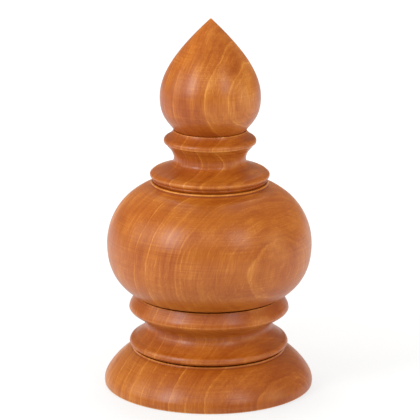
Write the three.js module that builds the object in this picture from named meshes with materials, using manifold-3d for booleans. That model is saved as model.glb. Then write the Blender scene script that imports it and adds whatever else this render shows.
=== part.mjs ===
// A large turned hardwood chess piece for a lawn set, 400 mm tall, standing on z = 0.
// Five turned sections are stacked on one axis and glued over hardwood dowels. A rubber pad
// sits in the underside of the base foot and is held there by four pan-head screws.
// Millimetres, +Z up, with the origin at the centre of the footprint.

import * as THREE from "three";
import { mergeVertices } from "three/addons/utils/BufferGeometryUtils.js";
import Module from "manifold-3d";

// ---- Driving dimensions -------------------------------------------------------------------

const HEIGHT = 400; // floor to tip
const FOOT_RADIUS = 112.5; // widest part of the base foot
const BULB_RADIUS = 109.7; // widest part of the round body
const FINIAL_RADIUS = 53.6; // widest part of the pointed top
const LOWER_RING_RADIUS = 85.5;
const UPPER_RING_RADIUS = 86;
const COVE_RADIUS = 67.8; // the hollow between the two rings
const DISC_RADIUS = 63.9; // shoulder disc above the body
const NECK_RADIUS = 38.4; // narrowest part of the collar
const RIM_RADIUS = 49.3; // rim at the top of the collar

// Heights of the faces where one section is glued to the next.
const FOOT_TOP = 41.8;
const WAIST_TOP = 100;
const BODY_TOP = 224.3;
const COLLAR_TOP = 280.2;

// Heights of the widest and narrowest rings.
const LOWER_RING_Z = 47.2;
const COVE_Z = 67.9;
const UPPER_RING_Z = 85.2;
const BULB_Z = 155.8;
const DISC_Z = 232.2;
const NECK_Z = 249.2;
const RIM_Z = 268.6;
const FINIAL_Z = 315.6;

const GAP = 0.3; // glue line between sections, and clearance around buried pieces

const DOWEL_RADIUS = 15;
const SHALLOW_SEAT = 21; // dowel depth in the foot, the waist and the collar
const DEEP_SEAT = 34; // dowel depth in the body and the finial
const DOWEL_FLUTES = 12;
const FLUTE_DEPTH = 0.8;
const DOWEL_CHAMFER = 1.5;

const PAD_RADIUS = 85;
const PAD_THICKNESS = 5;
const PAD_PROUD = 0.6; // how far the pad stands below the wood
const PAD_EDGE = 0.8; // rounding of the pad's lower edge

const SCREW_COUNT = 4;
const SCREW_CIRCLE_RADIUS = 65;
const SCREW_SHANK_RADIUS = 2.1;
const SCREW_HEAD_RADIUS = 4;
const SCREW_HEAD_HEIGHT = 2.2;
const SCREW_LENGTH = 16; // below the head
const SCREW_POINT = 4; // length of the tapered point
const SCREW_SLOT_WIDTH = 1.1;
const SCREW_SLOT_DEPTH = 1.2;
const POCKET_RADIUS = 5.5; // pocket in the pad around each screw head
const POCKET_DEPTH = 3.4;

const AROUND = 40; // flats around each turned section
const SMALL_AROUND = 16; // flats around a screw and its holes

// ---- Materials ----------------------------------------------------------------------------

function wood(colour) {
  return new THREE.MeshStandardMaterial({ color: colour, roughness: 0.42, metalness: 0 });
}

function dowelWood() {
  return new THREE.MeshStandardMaterial({ color: 0xd9b98a, roughness: 0.7, metalness: 0 });
}

function rubber() {
  return new THREE.MeshStandardMaterial({ color: 0x1d1d1c, roughness: 0.9, metalness: 0 });
}

function stainless() {
  return new THREE.MeshStandardMaterial({ color: 0xb9bbbd, roughness: 0.35, metalness: 1 });
}

// ---- Outlines -----------------------------------------------------------------------------
// An outline is a list of points (radius, height). It starts on the axis at the lower end,
// runs out and up the outside, and comes back to the axis at the top.

function at(radius, height) {
  return new THREE.Vector2(radius, height);
}

// One smooth stretch of turned profile. leave and arrive say how far the curve is pulled
// from its two ends, as offsets from them.
function bend(from, leave, arrive, to, steps) {
  const curve = new THREE.CubicBezierCurve(from, from.clone().add(leave), to.clone().add(arrive), to);
  return curve.getPoints(steps);
}

// A quarter of a circle from one corner of its square to the opposite one.
function roundOver(centre, radius, startAngle, endAngle, steps) {
  const arc = new THREE.EllipseCurve(centre.x, centre.y, radius, radius, startAngle, endAngle);
  return arc.getPoints(steps);
}

// Blind hole for a dowel, entered from below: from the axis at its end, down to its mouth.
function seatFromBelow(mouthZ, depth) {
  const endZ = mouthZ + depth + GAP / 2;
  return [at(0, endZ), at(DOWEL_RADIUS + GAP, endZ), at(DOWEL_RADIUS + GAP, mouthZ)];
}

// Blind hole for a dowel, entered from above: from its mouth down to the axis at its end.
function seatFromAbove(mouthZ, depth) {
  const endZ = mouthZ - depth - GAP / 2;
  return [at(DOWEL_RADIUS + GAP, mouthZ), at(DOWEL_RADIUS + GAP, endZ), at(0, endZ)];
}

function withoutRepeats(points) {
  const closer = 1e-6;
  return points.filter((point, i) => i === 0 || point.distanceTo(points[i - 1]) > closer);
}

// ---- Solids -------------------------------------------------------------------------------

// Turns an outline about the Z axis.
function turn(points, flats) {
  const geometry = new THREE.LatheGeometry(withoutRepeats(points), flats);
  geometry.rotateX(Math.PI / 2);
  return geometry;
}

function bareMesh(geometry) {
  const bare = geometry.clone();
  bare.deleteAttribute("normal");
  bare.deleteAttribute("uv");
  return mergeVertices(bare, 1e-4);
}

const wasm = await Module();
wasm.setup();

function toSolid(geometry) {
  const merged = bareMesh(geometry);
  return new wasm.Manifold(
    new wasm.Mesh({
      numProp: 3,
      vertProperties: new Float32Array(merged.getAttribute("position").array),
      triVerts: new Uint32Array(merged.index.array),
    })
  );
}

function toGeometry(solid) {
  const mesh = solid.getMesh();
  const geometry = new THREE.BufferGeometry();
  geometry.setAttribute("position", new THREE.BufferAttribute(mesh.vertProperties, 3));
  geometry.setIndex(new THREE.BufferAttribute(mesh.triVerts, 1));
  geometry.computeVertexNormals();
  return geometry;
}

// Cuts each tool from the blank.
function cut(blank, tools) {
  let solid = toSolid(blank);
  for (const tool of tools) {
    solid = solid.subtract(toSolid(tool));
  }
  return toGeometry(solid);
}

// A plain round plug between two heights, used to drill holes.
function plug(radius, lowZ, highZ, flats) {
  const geometry = new THREE.CylinderGeometry(radius, radius, highZ - lowZ, flats);
  geometry.rotateX(Math.PI / 2);
  geometry.translate(0, 0, (lowZ + highZ) / 2);
  return geometry;
}

// The four places on the screw circle.
function screwPlaces() {
  const places = [];
  for (let i = 0; i < SCREW_COUNT; i++) {
    const angle = Math.PI / SCREW_COUNT + (i * 2 * Math.PI) / SCREW_COUNT;
    const x = SCREW_CIRCLE_RADIUS * Math.cos(angle);
    const y = SCREW_CIRCLE_RADIUS * Math.sin(angle);
    places.push({ angle, x, y });
  }
  return places;
}

function onScrewCircle(makeTool) {
  return screwPlaces().map(({ x, y }) => makeTool().translate(x, y, 0));
}

// ---- Turned sections ----------------------------------------------------------------------

const WOOD_BOTTOM = PAD_PROUD;
const RECESS_TOP = PAD_THICKNESS + GAP;
const HEAD_TOP = POCKET_DEPTH - GAP; // where a screw's head meets its shank

// Wide flared foot, hollowed underneath for the pad.
function baseFoot() {
  const rimTop = at(FOOT_RADIUS, WOOD_BOTTOM + 3);
  const lip = at(81.6, FOOT_TOP);
  const lipEdge = at(82.2, FOOT_TOP - 0.4);
  const lipFoot = at(82.6, FOOT_TOP - 1.9);
  const outline = [
    at(0, RECESS_TOP),
    at(PAD_RADIUS + 2 * GAP, RECESS_TOP),
    at(PAD_RADIUS + 2 * GAP, WOOD_BOTTOM),
    at(FOOT_RADIUS - 0.4, WOOD_BOTTOM),
    ...bend(rimTop, at(1.1, 10.6), at(12.1, -6), lipFoot, 9),
    lipEdge,
    lip,
    ...seatFromAbove(FOOT_TOP, SHALLOW_SEAT),
  ];
  const pilotTop = HEAD_TOP + SCREW_LENGTH + GAP;
  const pilot = () => plug(SCREW_SHANK_RADIUS + GAP, WOOD_BOTTOM, pilotTop, SMALL_AROUND);
  return cut(turn(outline, AROUND), onScrewCircle(pilot));
}

// Two rings with a hollow cove between them.
function waistSpool() {
  const bottom = FOOT_TOP + GAP;
  const foot = at(77.5, bottom);
  const lowerRim = at(LOWER_RING_RADIUS, LOWER_RING_Z);
  const lowerEdge = at(84.2, 50.4);
  const cove = at(COVE_RADIUS, COVE_Z);
  const upperRim = at(UPPER_RING_RADIUS, UPPER_RING_Z);
  const top = at(78.5, WAIST_TOP);
  const outline = [
    ...seatFromBelow(bottom, SHALLOW_SEAT - GAP),
    ...bend(foot, at(4.2, 0.6), at(0.1, -2.8), lowerRim, 5),
    ...bend(lowerRim, at(-0.1, 1.4), at(0.5, -1.3), lowerEdge, 3),
    ...bend(lowerEdge, at(-6.6, 4.1), at(0, -5.9), cove, 6),
    ...bend(cove, at(0, 7.1), at(-0.4, -4.4), upperRim, 7),
    ...bend(upperRim, at(0.2, 4.5), at(2, -4.4), top, 5),
    ...seatFromAbove(WAIST_TOP, SHALLOW_SEAT),
  ];
  return turn(outline, AROUND);
}

// Round body with a small bead at its top.
function bodyBulb() {
  const bottom = WAIST_TOP + GAP;
  const underside = at(74, bottom);
  const lowerEdge = at(81.9, 102.6);
  const widest = at(BULB_RADIUS, BULB_Z);
  const shoulder = at(63.2, 220.5);
  const quirk = at(62, 221.6); // the small groove under the bead
  const bead = at(62.9, 222.9);
  const beadTop = at(61.1, BODY_TOP);
  const outline = [
    ...seatFromBelow(bottom, DEEP_SEAT - GAP),
    underside,
    ...bend(lowerEdge, at(22.5, 13.5), at(0, -18.7), widest, 9),
    ...bend(widest, at(0, 27.9), at(30.3, -10.9), shoulder, 11),
    quirk,
    ...bend(bead, at(0.1, 0.8), at(1, 0.1), beadTop, 4),
    ...seatFromAbove(BODY_TOP, DEEP_SEAT),
  ];
  return turn(outline, AROUND);
}

// Shoulder disc, hollow neck and flared rim in one piece.
function collar() {
  const bottom = BODY_TOP + GAP;
  const underside = at(60, bottom);
  const filletFoot = at(61.3, 226.2);
  const filletTop = at(61.9, 227.5);
  const rollFoot = at(61.6, 228);
  const discRim = at(DISC_RADIUS, DISC_Z);
  const discEdge = at(60.7, 235.7);
  const neck = at(NECK_RADIUS, NECK_Z);
  const rimGroove = at(47.8, 266.2);
  const rimFoot = at(48.9, 266.7);
  const rim = at(RIM_RADIUS, RIM_Z);
  const rimShoulder = at(49, 270.2);
  const rimEdge = at(48, 271.7);
  const top = at(38.9, COLLAR_TOP);
  const outline = [
    ...seatFromBelow(bottom, SHALLOW_SEAT - GAP),
    underside,
    filletFoot,
    filletTop,
    ...bend(rollFoot, at(0.9, 0.8), at(0, -2), discRim, 3),
    ...bend(discRim, at(0, 1.3), at(1.5, -1.4), discEdge, 4),
    ...bend(discEdge, at(-10, 3), at(0, -6.9), neck, 7),
    ...bend(neck, at(0, 8.6), at(-2.6, -3.8), rimGroove, 5),
    rimFoot,
    rim,
    ...bend(rimShoulder, at(-0.1, 0.7), at(0.3, -0.6), rimEdge, 2),
    ...bend(rimEdge, at(-3.9, 2.7), at(1.6, -4.2), top, 5),
    ...seatFromAbove(COLLAR_TOP, SHALLOW_SEAT),
  ];
  return turn(outline, AROUND);
}

// Onion-shaped top drawn up to a point.
function finial() {
  const bottom = COLLAR_TOP + GAP;
  const underside = at(38, bottom);
  const lowerEdge = at(38.9, 281.6);
  const widest = at(FINIAL_RADIUS, FINIAL_Z);
  const tip = at(0, HEIGHT);
  const outline = [
    ...seatFromBelow(bottom, DEEP_SEAT - GAP),
    underside,
    ...bend(lowerEdge, at(7.7, 9.2), at(0, -18.6), widest, 8),
    ...bend(widest, at(0, 22.3), at(39.6, -37.5), tip, 12),
  ];
  return turn(outline, AROUND);
}

// ---- Buried and underside pieces ----------------------------------------------------------

// Straight-fluted dowel across the glue face at jointZ, chamfered at both ends.
function dowel(jointZ, depthBelow, depthAbove) {
  const across = new THREE.Shape();
  const steps = DOWEL_FLUTES * 4;
  for (let i = 0; i < steps; i++) {
    const angle = (i * 2 * Math.PI) / steps;
    const inFlute = Math.max(0, Math.cos(DOWEL_FLUTES * angle));
    const radius = DOWEL_RADIUS - DOWEL_CHAMFER - FLUTE_DEPTH * inFlute;
    const x = radius * Math.cos(angle);
    const y = radius * Math.sin(angle);
    if (i === 0) {
      across.moveTo(x, y);
    } else {
      across.lineTo(x, y);
    }
  }
  const length = depthBelow + depthAbove - 2 * DOWEL_CHAMFER;
  const geometry = new THREE.ExtrudeGeometry(across, {
    depth: length,
    steps: 1,
    curveSegments: 1,
    bevelEnabled: true,
    bevelSegments: 1,
    bevelSize: DOWEL_CHAMFER,
    bevelThickness: DOWEL_CHAMFER,
  });
  geometry.translate(0, 0, jointZ - depthBelow + DOWEL_CHAMFER);
  return geometry;
}

// Round rubber pad with a stepped hole for each screw.
function basePad() {
  const outline = [
    at(0, 0),
    ...roundOver(at(PAD_RADIUS - PAD_EDGE, PAD_EDGE), PAD_EDGE, -Math.PI / 2, 0, 3),
    at(PAD_RADIUS, PAD_THICKNESS),
    at(0, PAD_THICKNESS),
  ];
  const beyond = 1;
  const pocket = () => plug(POCKET_RADIUS, -beyond, POCKET_DEPTH, SMALL_AROUND);
  const through = () =>
    plug(SCREW_SHANK_RADIUS + GAP, POCKET_DEPTH - beyond, PAD_THICKNESS + beyond, SMALL_AROUND);
  return cut(turn(outline, AROUND), [...onScrewCircle(pocket), ...onScrewCircle(through)]);
}

// Pan-head screw driven upwards: slotted head below, tapered point above.
function padScrew({ angle, x, y }) {
  const headBottom = HEAD_TOP - SCREW_HEAD_HEIGHT;
  const end = HEAD_TOP + SCREW_LENGTH;
  const outline = [
    at(0, headBottom),
    ...bend(at(2, headBottom), at(1.2, 0), at(0, -0.9), at(SCREW_HEAD_RADIUS, headBottom + 1.4), 3),
    at(SCREW_HEAD_RADIUS, HEAD_TOP),
    at(SCREW_SHANK_RADIUS, HEAD_TOP),
    at(SCREW_SHANK_RADIUS, end - SCREW_POINT),
    at(0, end),
  ];
  const slot = new THREE.BoxGeometry(3 * SCREW_HEAD_RADIUS, SCREW_SLOT_WIDTH, 2 * SCREW_SLOT_DEPTH);
  slot.translate(0, 0, headBottom);
  const geometry = cut(turn(outline, SMALL_AROUND), [slot]);
  geometry.rotateZ(angle);
  geometry.translate(x, y, 0);
  return geometry;
}

// ---- The object ---------------------------------------------------------------------------

function part(name, geometry, material) {
  const mesh = new THREE.Mesh(geometry, material);
  mesh.name = name;
  return mesh;
}

const chessPiece = new THREE.Group();

chessPiece.add(
  part("base_foot", baseFoot(), wood(0xa9602a)),
  part("waist_spool", waistSpool(), wood(0xa45a26)),
  part("body_bulb", bodyBulb(), wood(0xb0672e)),
  part("collar", collar(), wood(0xa65d28)),
  part("finial", finial(), wood(0xb26a2f)),
  part("base_dowel", dowel(FOOT_TOP, SHALLOW_SEAT, SHALLOW_SEAT), dowelWood()),
  part("waist_dowel", dowel(WAIST_TOP, SHALLOW_SEAT, DEEP_SEAT), dowelWood()),
  part("collar_dowel", dowel(BODY_TOP, DEEP_SEAT, SHALLOW_SEAT), dowelWood()),
  part("finial_dowel", dowel(COLLAR_TOP, SHALLOW_SEAT, DEEP_SEAT), dowelWood()),
  part("base_pad", basePad(), rubber())
);

screwPlaces().forEach((place, i) => {
  chessPiece.add(part(`pad_screw_${i + 1}`, padScrew(place), stainless()));
});

export default chessPiece;
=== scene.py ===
"""The looks of a large turned hardwood chess piece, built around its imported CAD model.

Each turned section is read from its CAD node as an outline, smoothed, and turned again finely. The pad and
its screws are rebuilt with their small detail. Lengths are in metres. MM is one millimetre of the design,
worked out from the height of the CAD model.
"""

import math

import bmesh
import bpy
import numpy as np
from mathutils import Matrix, Vector


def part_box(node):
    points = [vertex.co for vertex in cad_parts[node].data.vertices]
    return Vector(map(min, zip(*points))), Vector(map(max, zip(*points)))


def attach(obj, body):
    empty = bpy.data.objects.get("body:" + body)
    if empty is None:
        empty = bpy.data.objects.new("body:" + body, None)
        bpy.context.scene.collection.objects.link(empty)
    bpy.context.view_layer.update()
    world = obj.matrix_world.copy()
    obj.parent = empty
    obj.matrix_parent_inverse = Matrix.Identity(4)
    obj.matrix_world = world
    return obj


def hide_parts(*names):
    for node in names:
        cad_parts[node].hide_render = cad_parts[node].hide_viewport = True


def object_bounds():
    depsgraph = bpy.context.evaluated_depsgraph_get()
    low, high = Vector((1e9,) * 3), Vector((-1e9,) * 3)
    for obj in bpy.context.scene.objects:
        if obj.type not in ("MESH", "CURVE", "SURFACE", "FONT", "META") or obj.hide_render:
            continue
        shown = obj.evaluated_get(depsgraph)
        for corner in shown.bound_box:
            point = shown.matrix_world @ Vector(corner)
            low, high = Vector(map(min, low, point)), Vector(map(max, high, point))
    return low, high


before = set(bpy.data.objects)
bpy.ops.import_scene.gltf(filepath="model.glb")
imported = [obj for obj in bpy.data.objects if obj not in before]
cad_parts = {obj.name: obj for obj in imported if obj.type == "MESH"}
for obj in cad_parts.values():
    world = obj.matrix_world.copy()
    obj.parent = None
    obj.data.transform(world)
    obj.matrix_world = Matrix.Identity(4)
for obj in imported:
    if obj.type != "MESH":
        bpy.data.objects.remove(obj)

CAD_LOW, CAD_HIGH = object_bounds()

DESIGN_HEIGHT = 400
HEIGHT = CAD_HIGH.z - CAD_LOW.z
MM = HEIGHT / DESIGN_HEIGHT

SECTIONS = ("base_foot", "waist_spool", "body_bulb", "collar", "finial")
DOWELS = ("base_dowel", "waist_dowel", "collar_dowel", "finial_dowel")
SCREWS = ("pad_screw_1", "pad_screw_2", "pad_screw_3", "pad_screw_4")

AROUND = 192  # faces around a turned section
STEP = 1.2 * MM  # distance between rings on a curved stretch
CORNER_TURN = math.radians(31)  # a turn sharper than this is a real corner
STRAIGHT = 10 * MM  # a CAD edge longer than this is a flat face or the wall of a bore
EDGE_ROUND = 0.5 * MM  # softening of every corner
TIP_ROUND = 1.2 * MM  # softening of the pointed tip
SCRIBE_HEIGHT = 304 * MM  # a fine turned line around the lower part of the pointed top
SCRIBE_WIDTH = 0.7 * MM  # half the line's width
SCRIBE_DEPTH = 0.3 * MM
NEAR = 0.01 * MM  # closer than this counts as touching
EDGE_REACH = 0.8 * MM  # an edge is judged by how far the outline turns within this distance of it
SOFT_TURN, CRISP_TURN = 20, 60  # degrees of that turn at which an edge starts to count, and counts in full
RECESS_REACH = 28 * MM  # a wall farther away than this doesn't shut a point in
WIDEST_FEELER, FEELER_STEP = 75, 10  # degrees

# Small pieces, in millimetres of the design.
HOLE_AROUND = 48  # faces around a screw hole
FIT = 0.3  # clearance around a screw
SHANK_RADIUS = 2.1
HEAD_RADIUS = 4
HEAD_HEIGHT = 2.2
POINT_LENGTH = 4
SLOT_WIDTH = 1.1
SLOT_DEPTH = 1.2
THREAD_PITCH = 1.4
THREAD_ROOT = 0.72  # radius between the threads, as a part of the shank's radius
THREAD_FADE = 2  # length over which the thread fades out at each end
PLAIN_SHANK = 1  # length without a thread under the head
SCREW_AROUND = 40  # faces around a screw
SHARP_TURN = 35  # degrees between faces above which an edge of the pad or a screw stays sharp
HEAD_EDGE = 0.15  # chamfer around the head's flat side
HEAD_DOME = 1.4  # height of the head's round part
POCKET_RADIUS = 5.5
POCKET_DEPTH = 3.4
POCKET_MOUTH = 0.5  # how far the pocket widens at its mouth
PILOT_POINT = 2  # height of the cone that ends a pilot hole
PAST = 1  # how far a cutting tool goes past the face that it cuts
FLUTES = 12
FLUTE_DEPTH = 0.8
FLUTE_FADE = 10  # nearer to the axis than this, the flutes get shallower
FLUTED_SHARP_TURN = 50  # the same as SHARP_TURN, for a dowel
DOWEL_CHAMFER = 1.5


# ---- Outlines -----------------------------------------------------------------------------------
# An outline is an array of (radius, height), from the axis at the lower end, out and up the outside,
# and back to the axis at the top.


def merged_copy(node):
    """A bmesh of the CAD node with the vertices of neighbouring faces joined."""
    mesh = bmesh.new()
    mesh.from_mesh(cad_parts[node].data)
    bmesh.ops.remove_doubles(mesh, verts=mesh.verts, dist=NEAR / 10)
    return mesh


def cut_half(mesh):
    """The vertices where a solid meets the half plane from the axis towards the front."""
    everything = mesh.verts[:] + mesh.edges[:] + mesh.faces[:]
    plane = {"plane_co": (0, 0, 0), "plane_no": (1, 0, 0)}
    cut = bmesh.ops.bisect_plane(mesh, geom=everything, dist=NEAR / 10, **plane)
    on_plane = [v for v in cut["geom_cut"] if isinstance(v, bmesh.types.BMVert)]
    return {v for v in on_plane if v.co.y < NEAR}


def walk(mesh, half):
    """The half's vertices in order, from its lowest one on the axis."""
    on_axis = [v for v in half if abs(v.co.y) < NEAR]
    here = min(on_axis, key=lambda v: v.co.z)
    seen = {here}
    points = [(0.0, here.co.z)]
    while here is not None:
        beside = [e.other_vert(here) for e in here.link_edges]
        following = [v for v in beside if v in half and v not in seen]
        here = following[0] if following else None
        if here is not None:
            seen.add(here)
            points.append((-here.co.y, here.co.z))
    return np.array(points)


def without_midpoints(points):
    """Leaves out points that lie on a straight line between their neighbours."""
    kept = [points[0]]
    for before, point, after in zip(points[:-2], points[1:-1], points[2:]):
        first, second = point - before, after - point
        area = abs(first[0] * second[1] - first[1] * second[0])
        if area > 1e-3 * np.linalg.norm(first) * np.linalg.norm(second):
            kept.append(point)
    kept.append(points[-1])
    return np.array(kept)


def cad_outline(node):
    mesh = merged_copy(node)
    points = walk(mesh, cut_half(mesh))
    mesh.free()
    return without_midpoints(points)


def heading(a, b):
    return math.atan2(b[1] - a[1], b[0] - a[0])


def turning(a, b, c):
    """How far the outline turns at b, from 0 to pi."""
    difference = heading(b, c) - heading(a, b)
    return abs((difference + math.pi) % (2 * math.pi) - math.pi)


def is_corner(points, i):
    """True where the outline turns sharply, or where a curve meets a flat face."""
    before = np.linalg.norm(points[i] - points[i - 1])
    after = np.linalg.norm(points[i + 1] - points[i])
    return max(before, after) > STRAIGHT or turning(*points[i - 1 : i + 2]) > CORNER_TURN


def spline(points, steps_per_span=12):
    """A smooth curve through the points: a cubic spline over their distance along the outline."""
    if len(points) == 2:
        return points
    span = np.diff(distances(points))
    count = len(points)
    system = np.eye(count)
    right = np.zeros((count, 2))
    for i in range(1, count - 1):
        left_span, right_span = span[i - 1], span[i]
        system[i, i - 1 : i + 2] = (left_span, 2 * (left_span + right_span), right_span)
        slope_after = (points[i + 1] - points[i]) / right_span
        slope_before = (points[i] - points[i - 1]) / left_span
        right[i] = 6 * (slope_after - slope_before)
    bending = np.linalg.solve(system, right)
    curve = [points[:1]]
    for i in range(count - 1):
        t = np.linspace(0, 1, steps_per_span + 1)[1:, None]
        a, b = 1 - t, t
        square = span[i] ** 2 / 6
        bowed = square * ((a**3 - a) * bending[i] + (b**3 - b) * bending[i + 1])
        curve.append(a * points[i] + b * points[i + 1] + bowed)
    return np.concatenate(curve)


def resample(curve, start, stop, step):
    """Points on the curve between two distances along it."""
    place = distances(curve)
    low, high = start, place[-1] - stop
    if len(curve) == 2:
        inset = min(MM, (high - low) / 4)
        wanted = np.array([low, low + inset, high - inset, high])
    else:
        wanted = np.linspace(low, high, max(2, math.ceil((high - low) / step) + 1))
    return np.stack([np.interp(wanted, place, curve[:, k]) for k in (0, 1)], axis=1)


def rounded_corner(before, corner, after, count=4):
    """Points between two stretches that make a soft edge of the corner between them."""
    t = np.linspace(0, 1, count + 2)[1:-1, None]
    return (1 - t) ** 2 * before + 2 * t * (1 - t) * corner + t**2 * after


def fine_outline(node):
    """The CAD node's outline with smooth curves, and with its corners slightly rounded."""
    points = cad_outline(node)
    inner = range(1, len(points) - 1)
    corners = [0] + [i for i in inner if is_corner(points, i)] + [len(points) - 1]
    cuts = [0.0]
    for i in corners[1:-1]:
        angle = turning(points[i - 1], points[i], points[i + 1])
        shortest = min(np.linalg.norm(points[i] - points[i + k]) for k in (-1, 1))
        cuts.append(min(EDGE_ROUND * math.tan(angle / 2), shortest / 3))
    cuts.append(0.0)
    stretches = []
    for k in range(len(corners) - 1):
        curve = spline(points[corners[k] : corners[k + 1] + 1])
        stretches.append(resample(curve, cuts[k], cuts[k + 1], STEP))
    outline = [stretches[0]]
    for k in range(1, len(stretches)):
        outline.append(rounded_corner(stretches[k - 1][-1], points[corners[k]], stretches[k][0]))
        outline.append(stretches[k])
    return np.concatenate(outline)


def blunt_tip(outline, radius):
    """Rounds the point where the outline comes to the axis at its top."""
    away = outline[-2] - outline[-1]
    lift = math.atan2(-away[1], away[0])
    facing = math.pi / 2 - lift
    centre_height = outline[-1][1] - radius / math.sin(facing)
    kept = outline[outline[:, 1] < centre_height + radius * math.sin(facing)]
    angles = np.linspace(facing, math.pi / 2, 7)
    arc = np.stack([radius * np.cos(angles), centre_height + radius * np.sin(angles)], axis=1)
    arc[-1, 0] = 0
    return np.concatenate([kept, arc])


def edges(outline, place):
    """How crisp the outline's edge is at each point: 1 on a sharp outer edge, -1 in a sharp inner corner."""
    steps = np.diff(outline, axis=0)
    headings = np.unwrap(np.arctan2(steps[:, 1], steps[:, 0]))
    middles = (place[1:] + place[:-1]) / 2
    after = np.interp(place + EDGE_REACH, middles, headings)
    before = np.interp(place - EDGE_REACH, middles, headings)
    amount = np.degrees(after - before)
    crispness = (np.abs(amount) - SOFT_TURN) / (CRISP_TURN - SOFT_TURN)
    return np.sign(amount) * np.clip(crispness, 0, 1)


def recess(outline, walls):
    """How much each point is shut in by the walls near it, from 0 to 1.

    Feelers go out from the point in the half plane. walls is an array of segments, as (start, end) pairs.
    """
    tiny = 1e-12
    ahead = np.gradient(outline, axis=0)
    ahead /= np.linalg.norm(ahead, axis=1)[:, None] + tiny
    outward = np.stack([ahead[:, 1], -ahead[:, 0]], axis=1)
    start, along = walls[:, 0], walls[:, 1] - walls[:, 0]
    shut, total = np.zeros(len(outline)), 0.0
    for angle in np.radians(np.arange(-WIDEST_FEELER, WIDEST_FEELER + 1, FEELER_STEP)):
        cosine, sine = math.cos(angle), math.sin(angle)
        feeler = outward * cosine + ahead * sine
        origin = outline + outward * 0.2 * MM
        apart = start[None] - origin[:, None]
        cross = feeler[:, None, 0] * along[None, :, 1] - feeler[:, None, 1] * along[None, :, 0]
        cross = np.where(np.abs(cross) < tiny, tiny, cross)
        distance = (apart[..., 0] * along[None, :, 1] - apart[..., 1] * along[None, :, 0]) / cross
        fraction = (apart[..., 0] * feeler[:, None, 1] - apart[..., 1] * feeler[:, None, 0]) / cross
        hit = (distance > 0) & (distance < RECESS_REACH) & (fraction >= 0) & (fraction <= 1)
        nearest = np.where(hit, distance, RECESS_REACH).min(axis=1)
        shut += cosine * (1 - nearest / RECESS_REACH)
        total += cosine
    return shut / total


# ---- Meshes -------------------------------------------------------------------------------------


def new_piece(name, vertices, faces, smooth=True):
    mesh = bpy.data.meshes.new(name)
    mesh.from_pydata(vertices, [], faces)
    mesh.validate()
    if smooth:
        mesh.shade_smooth()
    piece = bpy.data.objects.new(name, mesh)
    bpy.context.scene.collection.objects.link(piece)
    return piece


def distances(outline):
    """Distance of each point along the outline."""
    span = np.linalg.norm(np.diff(outline, axis=0), axis=1)
    return np.concatenate([[0.0], np.cumsum(span)])


def turned(name, outline, around, values=None, shape=None):
    """Turns an outline about the Z axis.

    values are named numbers for each point, kept as attributes. shape may change the radius around the
    axis: it takes the radius, the height and the angle.
    """
    vertices, source, rings = [], [], []
    angles = np.arange(around) * 2 * math.pi / around
    for i, (radius, height) in enumerate(outline):
        first = len(vertices)
        if radius < 1e-9:
            vertices.append((0.0, 0.0, height))
            rings.append([first] * around)
        else:
            for angle in angles:
                here = shape(radius, height, angle) if shape else radius
                vertices.append((here * math.cos(angle), here * math.sin(angle), height))
            rings.append(list(range(first, first + around)))
        source.extend([i] * (len(vertices) - first))
    faces = []
    for low, high in zip(rings, rings[1:]):
        for i in range(around):
            j = (i + 1) % around
            corners = (low[i], low[j], high[j], high[i])
            faces.append(tuple(dict.fromkeys(corners)))
    piece = new_piece(name, vertices, faces)
    for key, numbers in (values or {}).items():
        attribute = piece.data.attributes.new(key, "FLOAT", "POINT")
        attribute.data.foreach_set("value", np.asarray(numbers, np.float32)[source])
    return piece


def cut_away(piece, tools):
    """Cuts each tool out of the piece and removes the tool."""
    for tool in tools:
        cutter = piece.modifiers.new("cut", "BOOLEAN")
        cutter.operation = "DIFFERENCE"
        cutter.solver = "EXACT"
        cutter.object = tool
    bpy.context.view_layer.update()
    evaluated = piece.evaluated_get(bpy.context.evaluated_depsgraph_get())
    mesh = bpy.data.meshes.new_from_object(evaluated)
    piece.modifiers.clear()
    piece.data = mesh
    mesh.name = piece.name
    for tool in tools:
        bpy.data.objects.remove(tool)


def sharp_where_steep(piece, degrees):
    """Smooth shading, apart from edges that turn more than this."""
    piece.data.shade_smooth()
    piece.data.set_sharp_from_angle(angle=math.radians(degrees))


# ---- Shader helpers -----------------------------------------------------------------------------


def new_material(name):
    """An empty material with its shader and its tree."""
    material = bpy.data.materials.new(name)
    material.use_nodes = True
    tree = material.node_tree
    shader = next(n for n in tree.nodes if n.type == "BSDF_PRINCIPLED")
    return material, tree, shader


def add_node(tree, kind, inputs=(), **settings):
    """Adds a node. Each input is a socket to link or a value to set, by its number."""
    node = tree.nodes.new(kind)
    for key, value in settings.items():
        setattr(node, key, value)
    for i, value in enumerate(inputs):
        if isinstance(value, bpy.types.NodeSocket):
            tree.links.new(value, node.inputs[i])
        elif value is not None:
            node.inputs[i].default_value = value
    return node


def maths(tree, operation, *values):
    return add_node(tree, "ShaderNodeMath", values, operation=operation).outputs[0]


def design_place(tree):
    """The point being shaded, in millimetres of the design."""
    place = add_node(tree, "ShaderNodeTexCoord").outputs["Object"]
    scaled = add_node(tree, "ShaderNodeVectorMath", [place], operation="SCALE")
    scaled.inputs["Scale"].default_value = 1 / MM
    return scaled.outputs[0]


def stretched(tree, vector, sizes, offset=0.0):
    """The vector with each axis divided by a feature size, moved along to give a different pattern."""
    scale = [1 / size for size in sizes]
    node = add_node(tree, "ShaderNodeMapping", [vector, (offset, offset, offset), None, scale])
    return node.outputs[0]


def noise(tree, vector, detail=2.0, roughness=0.5):
    """Smooth noise, about 0 to 1, with features one unit across."""
    node = add_node(tree, "ShaderNodeTexNoise")
    tree.links.new(vector, node.inputs["Vector"])
    node.inputs["Scale"].default_value = 1
    node.inputs["Detail"].default_value = detail
    node.inputs["Roughness"].default_value = roughness
    return node.outputs[0]


def spread(tree, value, low, high, to_low, to_high):
    """Maps low..high to to_low..to_high and holds it there."""
    node = add_node(tree, "ShaderNodeMapRange", [value, low, high, to_low, to_high])
    return node.outputs[0]


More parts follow.
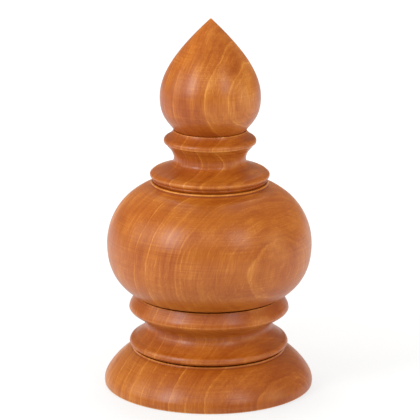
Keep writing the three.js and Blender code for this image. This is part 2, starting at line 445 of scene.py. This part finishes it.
def ramp(tree, factor, stops):
    """A colour ramp. Each stop is (place, colour) or (place, grey)."""
    node = add_node(tree, "ShaderNodeValToRGB", [factor])
    elements = node.color_ramp.elements
    while len(elements) < len(stops):
        elements.new(0.5)
    for element, (place, colour) in zip(elements, stops):
        element.position = place
        grey = isinstance(colour, (int, float))
        element.color = (colour, colour, colour, 1) if grey else (*colour, 1)
    return node.outputs[0]


def bump(tree, height, depth):
    """A normal from a height of 0 to 1 that stands for depth metres."""
    node = add_node(tree, "ShaderNodeBump")
    node.inputs["Strength"].default_value = 1
    node.inputs["Distance"].default_value = depth
    tree.links.new(height, node.inputs["Height"])
    return node.outputs[0]


# ---- Wood ---------------------------------------------------------------------------------------

WOOD = (0.385, 0.106, 0.010)  # its middle colour
TONE_STEP = (0.07, 0.135, 0.24)  # change of the logarithm of the colour for one step of tone
LAYER = 16.3  # mm between the main growth lines
DARKEST, LIGHTEST = -5, 7  # the range of tone
COLOUR_STOPS = 13  # steps of the colour ramp over that range
LESSER_PER_LAYER = 4.3  # weaker growth lines in each layer

# How strong a growth line is, by how far through its layer a point lies: (part of the way, strength).
LINE_PROFILE = [(0, 0), (0.02, 1), (0.055, 0.7), (0.1, 0.15), (0.2, 0), (1, 0)]
LESSER_PROFILE = [(0, 0), (0.1, 1), (0.2, 0.6), (0.4, 0), (1, 0)]

OIL_IOR = 1.43  # of the satin oil on the wood
WOOD_RELIEF = 0.06 * MM  # depth of the lathe marks and fibres

# Sizes of the wood's features, in mm: through the layers, across them, and along the fibres.
LAYER_WAVE = (30, 30, 60)  # this one and BROAD_TURNING are in the design's own axes
WAVE_BEND = 8  # mm, about four times how far a wave moves a layer
LINE_BREAKS = (13, 14, 26)
LESSER_PATCHES = (7, 11, 26)
STREAK = (1.5, 1.9, 26)
STREAK_GROUP = (22, 26, 34)
BAND = (4.5, 30, 90)
PATCH = (26, 30, 44)
FIBRE = (1, 1, 22)
PORE = (0.7, 0.7, 6)
BROAD_TURNING = (40, 40, 16)  # where the lathe marks are deeper or shallower
MARK_WIDTH = 1.1  # of a lathe mark
MARK_REACH = 60  # how far a lathe mark goes around before it changes

# How strongly each feature changes the tone. EDGE_HIGHLIGHT_AND_SHADE paints a highlight on sharp outer
# edges and shade in sharp inner corners. BLANKS scales the first three after EDGE_HIGHLIGHT_AND_SHADE.
EDGE_HIGHLIGHT_AND_SHADE = 6
LAYER_TONE = 1.2
BAND_TONE = 7
PATCH_TONE = 9
FIBRE_TONE = 8
MARK_TONE = 9
PORE_TONE = -1.3


def wood_colour(tree, tone):
    """The colour for a tone.

    0 is the middle colour, less is darker and redder, and more is lighter and yellower.
    """
    factor = spread(tree, tone, DARKEST, LIGHTEST, 0, 1)
    stops = []
    for step in np.linspace(DARKEST, LIGHTEST, COLOUR_STOPS):
        colour = [channel * math.exp(change * step) for channel, change in zip(WOOD, TONE_STEP)]
        stops.append(((step - DARKEST) / (LIGHTEST - DARKEST), colour))
    return ramp(tree, factor, stops)


def grain_space(tree, place, facing, pith, lean, twist, middle, shift):
    """The point as (distance through the growth layers, distance across, height along the fibres), in mm.

    The layers are wide cylinders about a pith behind the piece. facing is the direction in which they face,
    in degrees from the front towards +X. pith is how far away the pith is. lean and twist say how it moves
    per unit of height from the middle height. shift moves the layers.
    """
    angle = math.radians(facing)
    out = (math.sin(angle), -math.cos(angle), 0)
    side = (math.cos(angle), math.sin(angle), 0)
    reach = add_node(tree, "ShaderNodeVectorMath", [place, out], operation="DOT_PRODUCT").outputs["Value"]
    across = add_node(tree, "ShaderNodeVectorMath", [place, side], operation="DOT_PRODUCT").outputs["Value"]
    split = add_node(tree, "ShaderNodeSeparateXYZ", [place])
    above = maths(tree, "SUBTRACT", split.outputs["Z"], middle)
    reach = maths(tree, "SUBTRACT", reach, maths(tree, "MULTIPLY", above, lean))
    across = maths(tree, "SUBTRACT", across, maths(tree, "MULTIPLY", above, twist))
    reach = maths(tree, "ADD", reach, pith)
    squares = maths(tree, "ADD", maths(tree, "POWER", reach, 2), maths(tree, "POWER", across, 2))
    depth = maths(tree, "SUBTRACT", maths(tree, "SQRT", squares), pith - shift)
    wave = noise(tree, stretched(tree, place, LAYER_WAVE), detail=4)
    depth = maths(tree, "ADD", depth, signed(tree, wave, WAVE_BEND))
    return add_node(tree, "ShaderNodeCombineXYZ", [depth, across, above]).outputs[0], depth


def signed(tree, value, amount):
    """Turns noise of 0 to 1 into a change of about plus or minus a quarter of the amount."""
    return maths(tree, "MULTIPLY", maths(tree, "SUBTRACT", value, 0.5), amount)


def growth_lines(tree, grain, layers, own):
    """Tone of the thin pale line that starts each layer, and of the slow change to the next one.

    own is each layer's own number from 0 to 1, which makes its line stronger. So does being near the middle.
    """
    part_way = maths(tree, "FRACT", layers)
    line = ramp(tree, part_way, LINE_PROFILE)
    broken = noise(tree, stretched(tree, grain, LINE_BREAKS), detail=3)
    line = maths(tree, "MULTIPLY", line, spread(tree, broken, 0.34, 0.62, 0.3, 3.2))
    from_middle = maths(tree, "ABSOLUTE", maths(tree, "FLOOR", layers))
    strength = maths(tree, "ADD", spread(tree, from_middle, 0, 3, 1.4, 0.3), own)
    line = maths(tree, "MULTIPLY", line, strength)
    return maths(tree, "ADD", line, maths(tree, "MULTIPLY_ADD", part_way, -0.8, 0.4))


def lesser_lines(tree, grain, layers, seed):
    """Tone of the weaker lines between the main ones. They come and go."""
    part_way = maths(tree, "FRACT", maths(tree, "MULTIPLY", layers, LESSER_PER_LAYER))
    line = ramp(tree, part_way, LESSER_PROFILE)
    strength = noise(tree, stretched(tree, grain, LESSER_PATCHES, seed), detail=3)
    return maths(tree, "MULTIPLY", line, spread(tree, strength, 0.42, 0.66, 0, 2.6))


def flecks(tree, grain, seed):
    """Tone of short golden streaks along the fibres, which gather in some places."""
    streaks = noise(tree, stretched(tree, grain, STREAK, seed + 31), detail=2)
    gather = noise(tree, stretched(tree, grain, STREAK_GROUP, seed + 17), detail=1)
    here = spread(tree, gather, 0.4, 0.62, 0.15, 1)
    return maths(tree, "MULTIPLY", spread(tree, streaks, 0.48, 0.7, 0, 1.7), here)


def lathe_marks(tree, place, seed):
    """Fine rings left by the turning tool, as noise along the outline that hardly changes around it."""
    along = add_node(tree, "ShaderNodeAttribute", attribute_name="along").outputs["Fac"]
    split = add_node(tree, "ShaderNodeSeparateXYZ", [place])
    around = [maths(tree, "MULTIPLY", split.outputs[axis], 1 / MARK_REACH) for axis in "XY"]
    vector = add_node(tree, "ShaderNodeCombineXYZ", [maths(tree, "ADD", along, seed), *around]).outputs[0]
    marks = noise(tree, stretched(tree, vector, (MARK_WIDTH, 1, 1)), detail=2, roughness=0.6)
    broad = noise(tree, stretched(tree, place, BROAD_TURNING, seed), detail=2)
    depth = spread(tree, broad, 0.4, 0.65, 0.25, 1)
    return maths(tree, "MULTIPLY_ADD", maths(tree, "SUBTRACT", marks, 0.5), depth, 0.5)


def turned_wood(name, facing, pith, lean, twist, middle, shift, own_tone, fade, figure, painted_recess_shade, seed):
    """Satin orange-brown hardwood: growth layers, pale growth lines, fibres, pores and lathe marks.

    fade is the change of tone for each millimetre outwards through the layers, figure is the strength of the
    bands and patches, and painted_recess_shade is how much shade is painted into the recesses, where nearby
    walls shut a point in.
    """
    material, tree, shader = new_material(name)
    place = design_place(tree)
    grain, depth = grain_space(tree, place, facing, pith, lean, twist, middle, shift)
    layers = maths(tree, "DIVIDE", depth, LAYER)
    layer_seed = maths(tree, "ADD", maths(tree, "FLOOR", layers), seed)
    own = add_node(tree, "ShaderNodeTexWhiteNoise", noise_dimensions="1D")
    tree.links.new(layer_seed, own.inputs["W"])
    own = own.outputs["Value"]
    bands = noise(tree, stretched(tree, grain, BAND, seed), detail=3)
    patches = noise(tree, stretched(tree, grain, PATCH, seed), detail=3)
    fibre = noise(tree, stretched(tree, grain, FIBRE, seed), detail=3, roughness=0.62)
    pores = noise(tree, stretched(tree, grain, PORE, seed), detail=1)
    pores = spread(tree, pores, 0.62, 0.74, 0, 1)
    marks = lathe_marks(tree, place, seed)
    recessed = add_node(tree, "ShaderNodeAttribute", attribute_name="recess").outputs["Fac"]
    edge = add_node(tree, "ShaderNodeAttribute", attribute_name="edge").outputs["Fac"]
    parts = [
        # painted shade: the colour is darker where nearby walls of the outline shut a point in
        maths(tree, "MULTIPLY", recessed, -painted_recess_shade),
        maths(tree, "MULTIPLY", depth, fade),
        # painted highlight on sharp outer edges and painted shade in sharp inner corners
        maths(tree, "MULTIPLY", edge, EDGE_HIGHLIGHT_AND_SHADE),
        growth_lines(tree, grain, layers, own),
        lesser_lines(tree, grain, layers, seed + 5),
        flecks(tree, grain, seed),
        signed(tree, own, LAYER_TONE * figure),
        signed(tree, bands, BAND_TONE * figure),
        signed(tree, patches, PATCH_TONE * figure),
        signed(tree, fibre, FIBRE_TONE),
        signed(tree, marks, MARK_TONE),
        maths(tree, "MULTIPLY", pores, PORE_TONE),
    ]
    tone = own_tone
    for part in parts:
        tone = maths(tree, "ADD", tone, part)
    tree.links.new(wood_colour(tree, tone), shader.inputs["Base Color"])
    smoothest, from_fibre, from_pores = 0.23, 0.24, 0.12
    rough = maths(tree, "MULTIPLY_ADD", fibre, from_fibre, smoothest)
    rough = maths(tree, "MULTIPLY_ADD", pores, from_pores, rough)
    tree.links.new(rough, shader.inputs["Roughness"])
    mark_part, fibre_part, pore_part = 0.9, 0.5, 0.3  # parts of WOOD_RELIEF
    height = maths(tree, "MULTIPLY_ADD", marks, mark_part, maths(tree, "MULTIPLY", fibre, fibre_part))
    height = maths(tree, "SUBTRACT", height, maths(tree, "MULTIPLY", pores, pore_part))
    tree.links.new(bump(tree, height, WOOD_RELIEF), shader.inputs["Normal"])
    shader.inputs["IOR"].default_value = OIL_IOR
    return material


def dowel_wood(name):
    """Bare pale hardwood with straight fibres."""
    material, tree, shader = new_material(name)
    place = design_place(tree)
    fibre = noise(tree, stretched(tree, place, (0.8, 0.8, 25)), detail=3)
    colour = ramp(tree, fibre, [(0.3, (0.48, 0.30, 0.15)), (0.7, (0.68, 0.48, 0.27))])
    tree.links.new(colour, shader.inputs["Base Color"])
    tree.links.new(maths(tree, "MULTIPLY_ADD", fibre, 0.2, 0.6), shader.inputs["Roughness"])
    tree.links.new(bump(tree, fibre, 0.05 * MM), shader.inputs["Normal"])
    return material


def pad_rubber(name):
    """Matte black rubber with a fine moulded grain."""
    material, tree, shader = new_material(name)
    place = design_place(tree)
    grain = noise(tree, stretched(tree, place, (0.6, 0.6, 0.6)), detail=3)
    dust = noise(tree, stretched(tree, place, (22, 22, 22)), detail=4)
    colour = ramp(tree, dust, [(0.35, (0.016, 0.016, 0.016)), (0.75, (0.05, 0.047, 0.042))])
    tree.links.new(colour, shader.inputs["Base Color"])
    tree.links.new(maths(tree, "MULTIPLY_ADD", dust, 0.2, 0.72), shader.inputs["Roughness"])
    tree.links.new(bump(tree, grain, 0.08 * MM), shader.inputs["Normal"])
    return material


def screw_steel(name):
    """Plain stainless steel with faint turning marks."""
    material, tree, shader = new_material(name)
    place = design_place(tree)
    scuff = noise(tree, stretched(tree, place, (0.5, 0.5, 0.12)), detail=3)
    colour = ramp(tree, scuff, [(0.3, (0.42, 0.43, 0.44)), (0.7, (0.62, 0.63, 0.64))])
    tree.links.new(colour, shader.inputs["Base Color"])
    tree.links.new(maths(tree, "MULTIPLY_ADD", scuff, 0.2, 0.25), shader.inputs["Roughness"])
    tree.links.new(bump(tree, scuff, 0.01 * MM), shader.inputs["Normal"])
    shader.inputs["Metallic"].default_value = 1
    return material


# ---- Pieces -------------------------------------------------------------------------------------

# How each section's blank lies in the tree, how light it is, how strong its figure is, and how much shade is
# painted into its recesses.
# grain_space and turned_wood say what each value means.
BLANKS = {
    "base_foot": {
        "facing": 50, "pith": 1500, "lean": -0.09, "twist": 0.2, "middle": 21, "shift": -4,
        "own_tone": -0.2, "fade": -0.026, "figure": 1, "painted_recess_shade": 4, "seed": 11,
    },
    "waist_spool": {
        "facing": 47, "pith": 900, "lean": 0, "twist": 0.1, "middle": 71, "shift": -4,
        "own_tone": -1.2, "fade": 0, "figure": 1, "painted_recess_shade": 6, "seed": 23,
    },
    "body_bulb": {
        "facing": 44, "pith": 1500, "lean": 0.137, "twist": 0.2, "middle": 160, "shift": -4.8,
        "own_tone": -0.1, "fade": -0.003, "figure": 1, "painted_recess_shade": 2, "seed": 42,
    },
    "collar": {
        "facing": 55, "pith": 300, "lean": 0, "twist": 0, "middle": 252, "shift": 0,
        "own_tone": -0.7, "fade": 0, "figure": 1.2, "painted_recess_shade": 10, "seed": 41,
    },
    "finial": {
        "facing": 70, "pith": 80, "lean": -0.05, "twist": 0, "middle": 336, "shift": 24,
        "own_tone": -1.2, "fade": 0.02, "figure": 1.4, "painted_recess_shade": 14, "seed": 54,
    },
}


def finish_piece(piece, node, material):
    """Puts a piece in the place of its CAD node, with its material."""
    piece.data.materials.clear()
    piece.data.materials.append(material)
    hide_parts(node)
    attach(piece, "root")


def scribed(outline, height):
    """Adds a fine V-shaped turned line to the outside of an outline, at a height."""
    outside = np.arange(len(outline)) > outline[:, 0].argmax() - len(outline) // 3
    i = int(np.abs(np.where(outside, outline[:, 1], -1) - height).argmin())
    nearby = outline[i - 3 : i + 4]
    low, high = height - SCRIBE_WIDTH, height + SCRIBE_WIDTH
    radii = np.interp([low, height, high], nearby[:, 1], nearby[:, 0])
    line = [(radii[0], low), (radii[1] - SCRIBE_DEPTH, height), (radii[2], high)]
    before = [k for k in range(i - 3, i + 1) if outline[k, 1] < low]
    after = [k for k in range(i, i + 4) if outline[k, 1] > high]
    return np.concatenate([outline[: before[-1] + 1], line, outline[after[0] :]])


def section_outline(node):
    outline = fine_outline(node)
    if node == "finial":
        outline = scribed(blunt_tip(outline, TIP_ROUND), SCRIBE_HEIGHT)
    return outline


def make_sections():
    """Turns the five sections. Each knows the distance along its outline, its edges and its recesses."""
    outlines = {node: section_outline(node) for node in SECTIONS}
    walls = np.concatenate([np.stack([line[:-1], line[1:]], axis=1) for line in outlines.values()])
    for node, outline in outlines.items():
        place = distances(outline)
        values = {"along": place / MM, "edge": edges(outline, place), "recess": recess(outline, walls)}
        piece = turned(node + "_turned", outline, AROUND, values)
        if node == "base_foot":
            cut_away(piece, [pilot(screw) for screw in SCREWS])
        finish_piece(piece, node, turned_wood("wood_" + node, **BLANKS[node]))


def centre_of(node):
    low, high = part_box(node)
    return (low + high) / 2


def plug(name, node, outline):
    """A tool turned about a screw's axis. The outline is in millimetres above the floor."""
    tool = turned(name, np.array(outline) * MM, HOLE_AROUND)
    middle_point = centre_of(node)
    tool.location = (middle_point.x, middle_point.y, CAD_LOW.z)
    return tool


def pilot(node):
    """The hole in the wood for a screw."""
    low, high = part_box(node)
    radius = SHANK_RADIUS + FIT
    top = (high.z - CAD_LOW.z) / MM + FIT
    return plug("pilot", node, [(0, 0), (radius, 0), (radius, top - PILOT_POINT), (0, top)])


def pocket(node):
    """The stepped hole in the pad for a screw, with a soft mouth."""
    inner = SHANK_RADIUS + FIT
    outer = POCKET_RADIUS + POCKET_MOUTH
    above = 9  # higher than the pad is thick
    bend = 0.3 * POCKET_MOUTH
    mouth = [(outer, 0), (POCKET_RADIUS + bend, bend), (POCKET_RADIUS, POCKET_MOUTH)]
    floor = [(POCKET_RADIUS, POCKET_DEPTH), (inner, POCKET_DEPTH), (inner, above), (0, above)]
    return plug("pocket", node, [(0, -PAST), (outer, -PAST), *mouth, *floor])


def make_pad():
    """The round rubber pad with its soft edges and its four screw holes."""
    piece = turned("base_pad_moulded", fine_outline("base_pad"), AROUND)
    cut_away(piece, [pocket(screw) for screw in SCREWS])
    sharp_where_steep(piece, SHARP_TURN)
    finish_piece(piece, "base_pad", pad_rubber("rubber"))


def thread(bottom, top):
    """A shape for the shank: a screw thread between two heights, which fades out at both ends."""

    def radius_at(radius, height, angle):
        if not bottom < height < top:
            return radius
        turn = (height / (THREAD_PITCH * MM) - angle / (2 * math.pi)) % 1
        crest = max(0, 1 - abs(turn - 0.5) * 4)
        fade = min(1, (height - bottom) / (THREAD_FADE * MM), (top - height) / (THREAD_FADE * MM))
        return radius * (THREAD_ROOT + (1 - THREAD_ROOT) * crest * fade)

    return radius_at


def screw_outline(bottom, top):
    """A pan head at the bottom, then the shank up to its point. Heights are in metres."""
    dome = np.linspace(0, 1, 7) * math.pi / 2
    half = 0.5 * HEAD_RADIUS
    head = [(half + half * math.sin(a), HEAD_DOME * (1 - math.cos(a))) for a in dome]
    head += [(HEAD_RADIUS, HEAD_HEIGHT - HEAD_EDGE), (HEAD_RADIUS - HEAD_EDGE, HEAD_HEIGHT)]
    points = [(0, 0), *head, (SHANK_RADIUS, HEAD_HEIGHT)]
    length = (top - bottom) / MM
    point = length - POINT_LENGTH
    points += [(SHANK_RADIUS, z) for z in np.arange(HEAD_HEIGHT + 0.1, point, THREAD_PITCH / 8)]
    points += [(SHANK_RADIUS * (1 - t), point + POINT_LENGTH * t) for t in np.linspace(0, 1, 9)]
    return np.array(points) * MM + (0, bottom)


def make_screw(node, material):
    """A pan-head screw with a slot across its head, lying on its own axis."""
    low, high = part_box(node)
    middle_point = centre_of(node)
    shank = thread(low.z + (HEAD_HEIGHT + PLAIN_SHANK) * MM, high.z)
    piece = turned(node + "_threaded", screw_outline(low.z, high.z), SCREW_AROUND, shape=shank)
    angle = math.atan2(middle_point.y, middle_point.x)
    long, half = 1.5 * HEAD_RADIUS * MM, SLOT_WIDTH / 2 * MM
    bottom, top = low.z - PAST * MM, low.z + SLOT_DEPTH * MM
    slot = [(-long, -half), (long, -half), (long, half), (-long, half)]
    corners = [(x, y, z) for z in (bottom, top) for x, y in slot]
    sides = [(0, 3, 2, 1), (4, 5, 6, 7), (0, 1, 5, 4), (1, 2, 6, 5), (2, 3, 7, 6), (3, 0, 4, 7)]
    cut_away(piece, [new_piece("slot", corners, sides, smooth=False)])
    there = Matrix.Translation((middle_point.x, middle_point.y, 0))
    piece.data.transform(there @ Matrix.Rotation(angle, 4, "Z"))
    sharp_where_steep(piece, SHARP_TURN)
    finish_piece(piece, node, material)


def fluted(radius, height, angle):
    """The shape of a dowel's straight grooves."""
    groove = max(0, math.cos(FLUTES * angle)) ** 2
    return radius - FLUTE_DEPTH * MM * groove * min(1, radius / (FLUTE_FADE * MM))


def make_dowel(node, material):
    """A fluted dowel with softened ends."""
    low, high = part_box(node)
    radius = (high.x - low.x) / 2
    chamfer = DOWEL_CHAMFER * MM
    slope = [(1.3, 0), (1, 0.08), (0.1, 0.85), (0, 1.3)]  # inwards and along, in chamfers
    ends = [(0, 0)] + [(radius - inwards * chamfer, along * chamfer) for inwards, along in slope]
    outline = [(r, low.z + z) for r, z in ends] + [(r, high.z - z) for r, z in reversed(ends)]
    piece = turned(node + "_fluted", np.array(outline), FLUTES * 12, shape=fluted)
    sharp_where_steep(piece, FLUTED_SHARP_TURN)
    finish_piece(piece, node, material)


def make_hidden_pieces():
    steel = screw_steel("steel")
    for node in SCREWS:
        make_screw(node, steel)
    pale_wood = dowel_wood("pale_wood")
    for node in DOWELS:
        make_dowel(node, pale_wood)


make_sections()
make_pad()
make_hidden_pieces()


# ---- Stage, light and camera --------------------------------------------------------------------


COOL_GLOW = (0.93, 0.965, 1)  # makes up for the warm lamps, so that the floor looks white
FLOOR_SIZE = 30 * HEIGHT
FLOOR_GAP = 0.1 * MM  # keeps the floor from lying in the very plane of the pad
FLOOR_GREY = 0.3
GLOW_NEAR, GLOW_FAR = 0.69, 0.97  # strength of the floor's glow beside the piece and far from it
LAMP_DISTANCE = 4 * HEIGHT  # from the middle of the piece
CAMERA_LENS = 217  # mm, for a sensor of 36 mm
CAMERA_SHIFT = 0.0010  # part of the picture's width
CAMERA_PLACE = (0, -6.54, 2.203)  # in heights of the piece
CAMERA_DIP = 14.763  # degrees that it looks down
CAMERA_ROLL = 0.38  # degrees that it leans


def plain_floor():
    """A wide white floor at the height of the pad's underside, lit a little from within like a light table.

    Its glow grows with distance, to make up for the lamps' fall-off there.
    """
    place = (0, 0, CAD_LOW.z - FLOOR_GAP)
    bpy.ops.mesh.primitive_grid_add(x_subdivisions=4, y_subdivisions=4, size=FLOOR_SIZE, location=place)
    floor = bpy.context.object
    floor.name = "floor"
    material, tree, shader = new_material("floor_white")
    shader.inputs["Base Color"].default_value = (FLOOR_GREY, FLOOR_GREY, FLOOR_GREY, 1)
    shader.inputs["Roughness"].default_value = 0.9
    shader.inputs["Specular IOR Level"].default_value = 0
    shader.inputs["Emission Color"].default_value = (*COOL_GLOW, 1)
    point = add_node(tree, "ShaderNodeTexCoord").outputs["Object"]
    distance = add_node(tree, "ShaderNodeVectorMath", [point], operation="LENGTH").outputs["Value"]
    glow = spread(tree, distance, 0.3 * HEIGHT, 3 * HEIGHT, GLOW_NEAR, GLOW_FAR)
    tree.links.new(glow, shader.inputs["Emission Strength"])
    floor.data.materials.append(material)


def warm(amount):
    """White for 0, and warmer with a larger amount."""
    return (1, 1 - 0.2 * amount, 1 - 0.45 * amount)


def soft_box(name, azimuth, elevation, width, height, power, warmth):
    """A soft rectangular light aimed at the middle of the piece.

    azimuth is in degrees from the front towards +X, and elevation in degrees above the middle. width and
    height are in heights of the piece, and power is in watts.
    """
    light = bpy.data.lights.new(name, "AREA")
    light.color = warm(warmth)
    light.shape = "RECTANGLE"
    light.size = width * HEIGHT
    light.size_y = height * HEIGHT
    light.energy = power
    lamp = bpy.data.objects.new(name, light)
    bpy.context.scene.collection.objects.link(lamp)
    turn, lift = math.radians(azimuth), math.radians(elevation)
    away = Vector((math.sin(turn) * math.cos(lift), -math.cos(turn) * math.cos(lift), math.sin(lift)))
    lamp.location = Vector((0, 0, HEIGHT / 2)) + away * LAMP_DISTANCE
    lamp.rotation_euler = away.to_track_quat("Z", "Y").to_euler()


def studio_world(strength, warmth):
    world = bpy.data.worlds.new("studio")
    world.use_nodes = True
    background = world.node_tree.nodes["Background"]
    background.inputs["Color"].default_value = (*warm(warmth), 1)
    background.inputs["Strength"].default_value = strength
    bpy.context.scene.world = world


def studio_camera():
    """A long lens a little above the piece, looking down on it."""
    camera = bpy.data.cameras.new("camera")
    camera.sensor_width = 36
    camera.lens = CAMERA_LENS
    camera.shift_x = CAMERA_SHIFT
    holder = bpy.data.objects.new("camera", camera)
    bpy.context.scene.collection.objects.link(holder)
    place = Matrix.Translation(Vector(CAMERA_PLACE) * HEIGHT)
    pitch = Matrix.Rotation(math.radians(90 - CAMERA_DIP), 4, "X")
    roll = Matrix.Rotation(math.radians(CAMERA_ROLL), 4, "Z")
    holder.matrix_world = place @ pitch @ roll
    bpy.context.scene.camera = holder


plain_floor()
soft_box("key", azimuth=-48, elevation=30, width=1, height=2, power=13, warmth=0)
soft_box("fill", azimuth=38, elevation=33, width=0.9, height=1.8, power=6, warmth=0)
soft_box("front", azimuth=-4, elevation=38, width=1.6, height=1.2, power=1.8, warmth=0)
soft_box("left", azimuth=-84, elevation=20, width=2, height=2, power=9, warmth=1)
soft_box("right", azimuth=78, elevation=12, width=1.6, height=2, power=7, warmth=1.4)
soft_box("back", azimuth=180, elevation=65, width=2, height=2, power=14, warmth=0)
studio_world(strength=0.38, warmth=0.7)
studio_camera()
bpy.context.scene.view_settings.view_transform = "Standard"
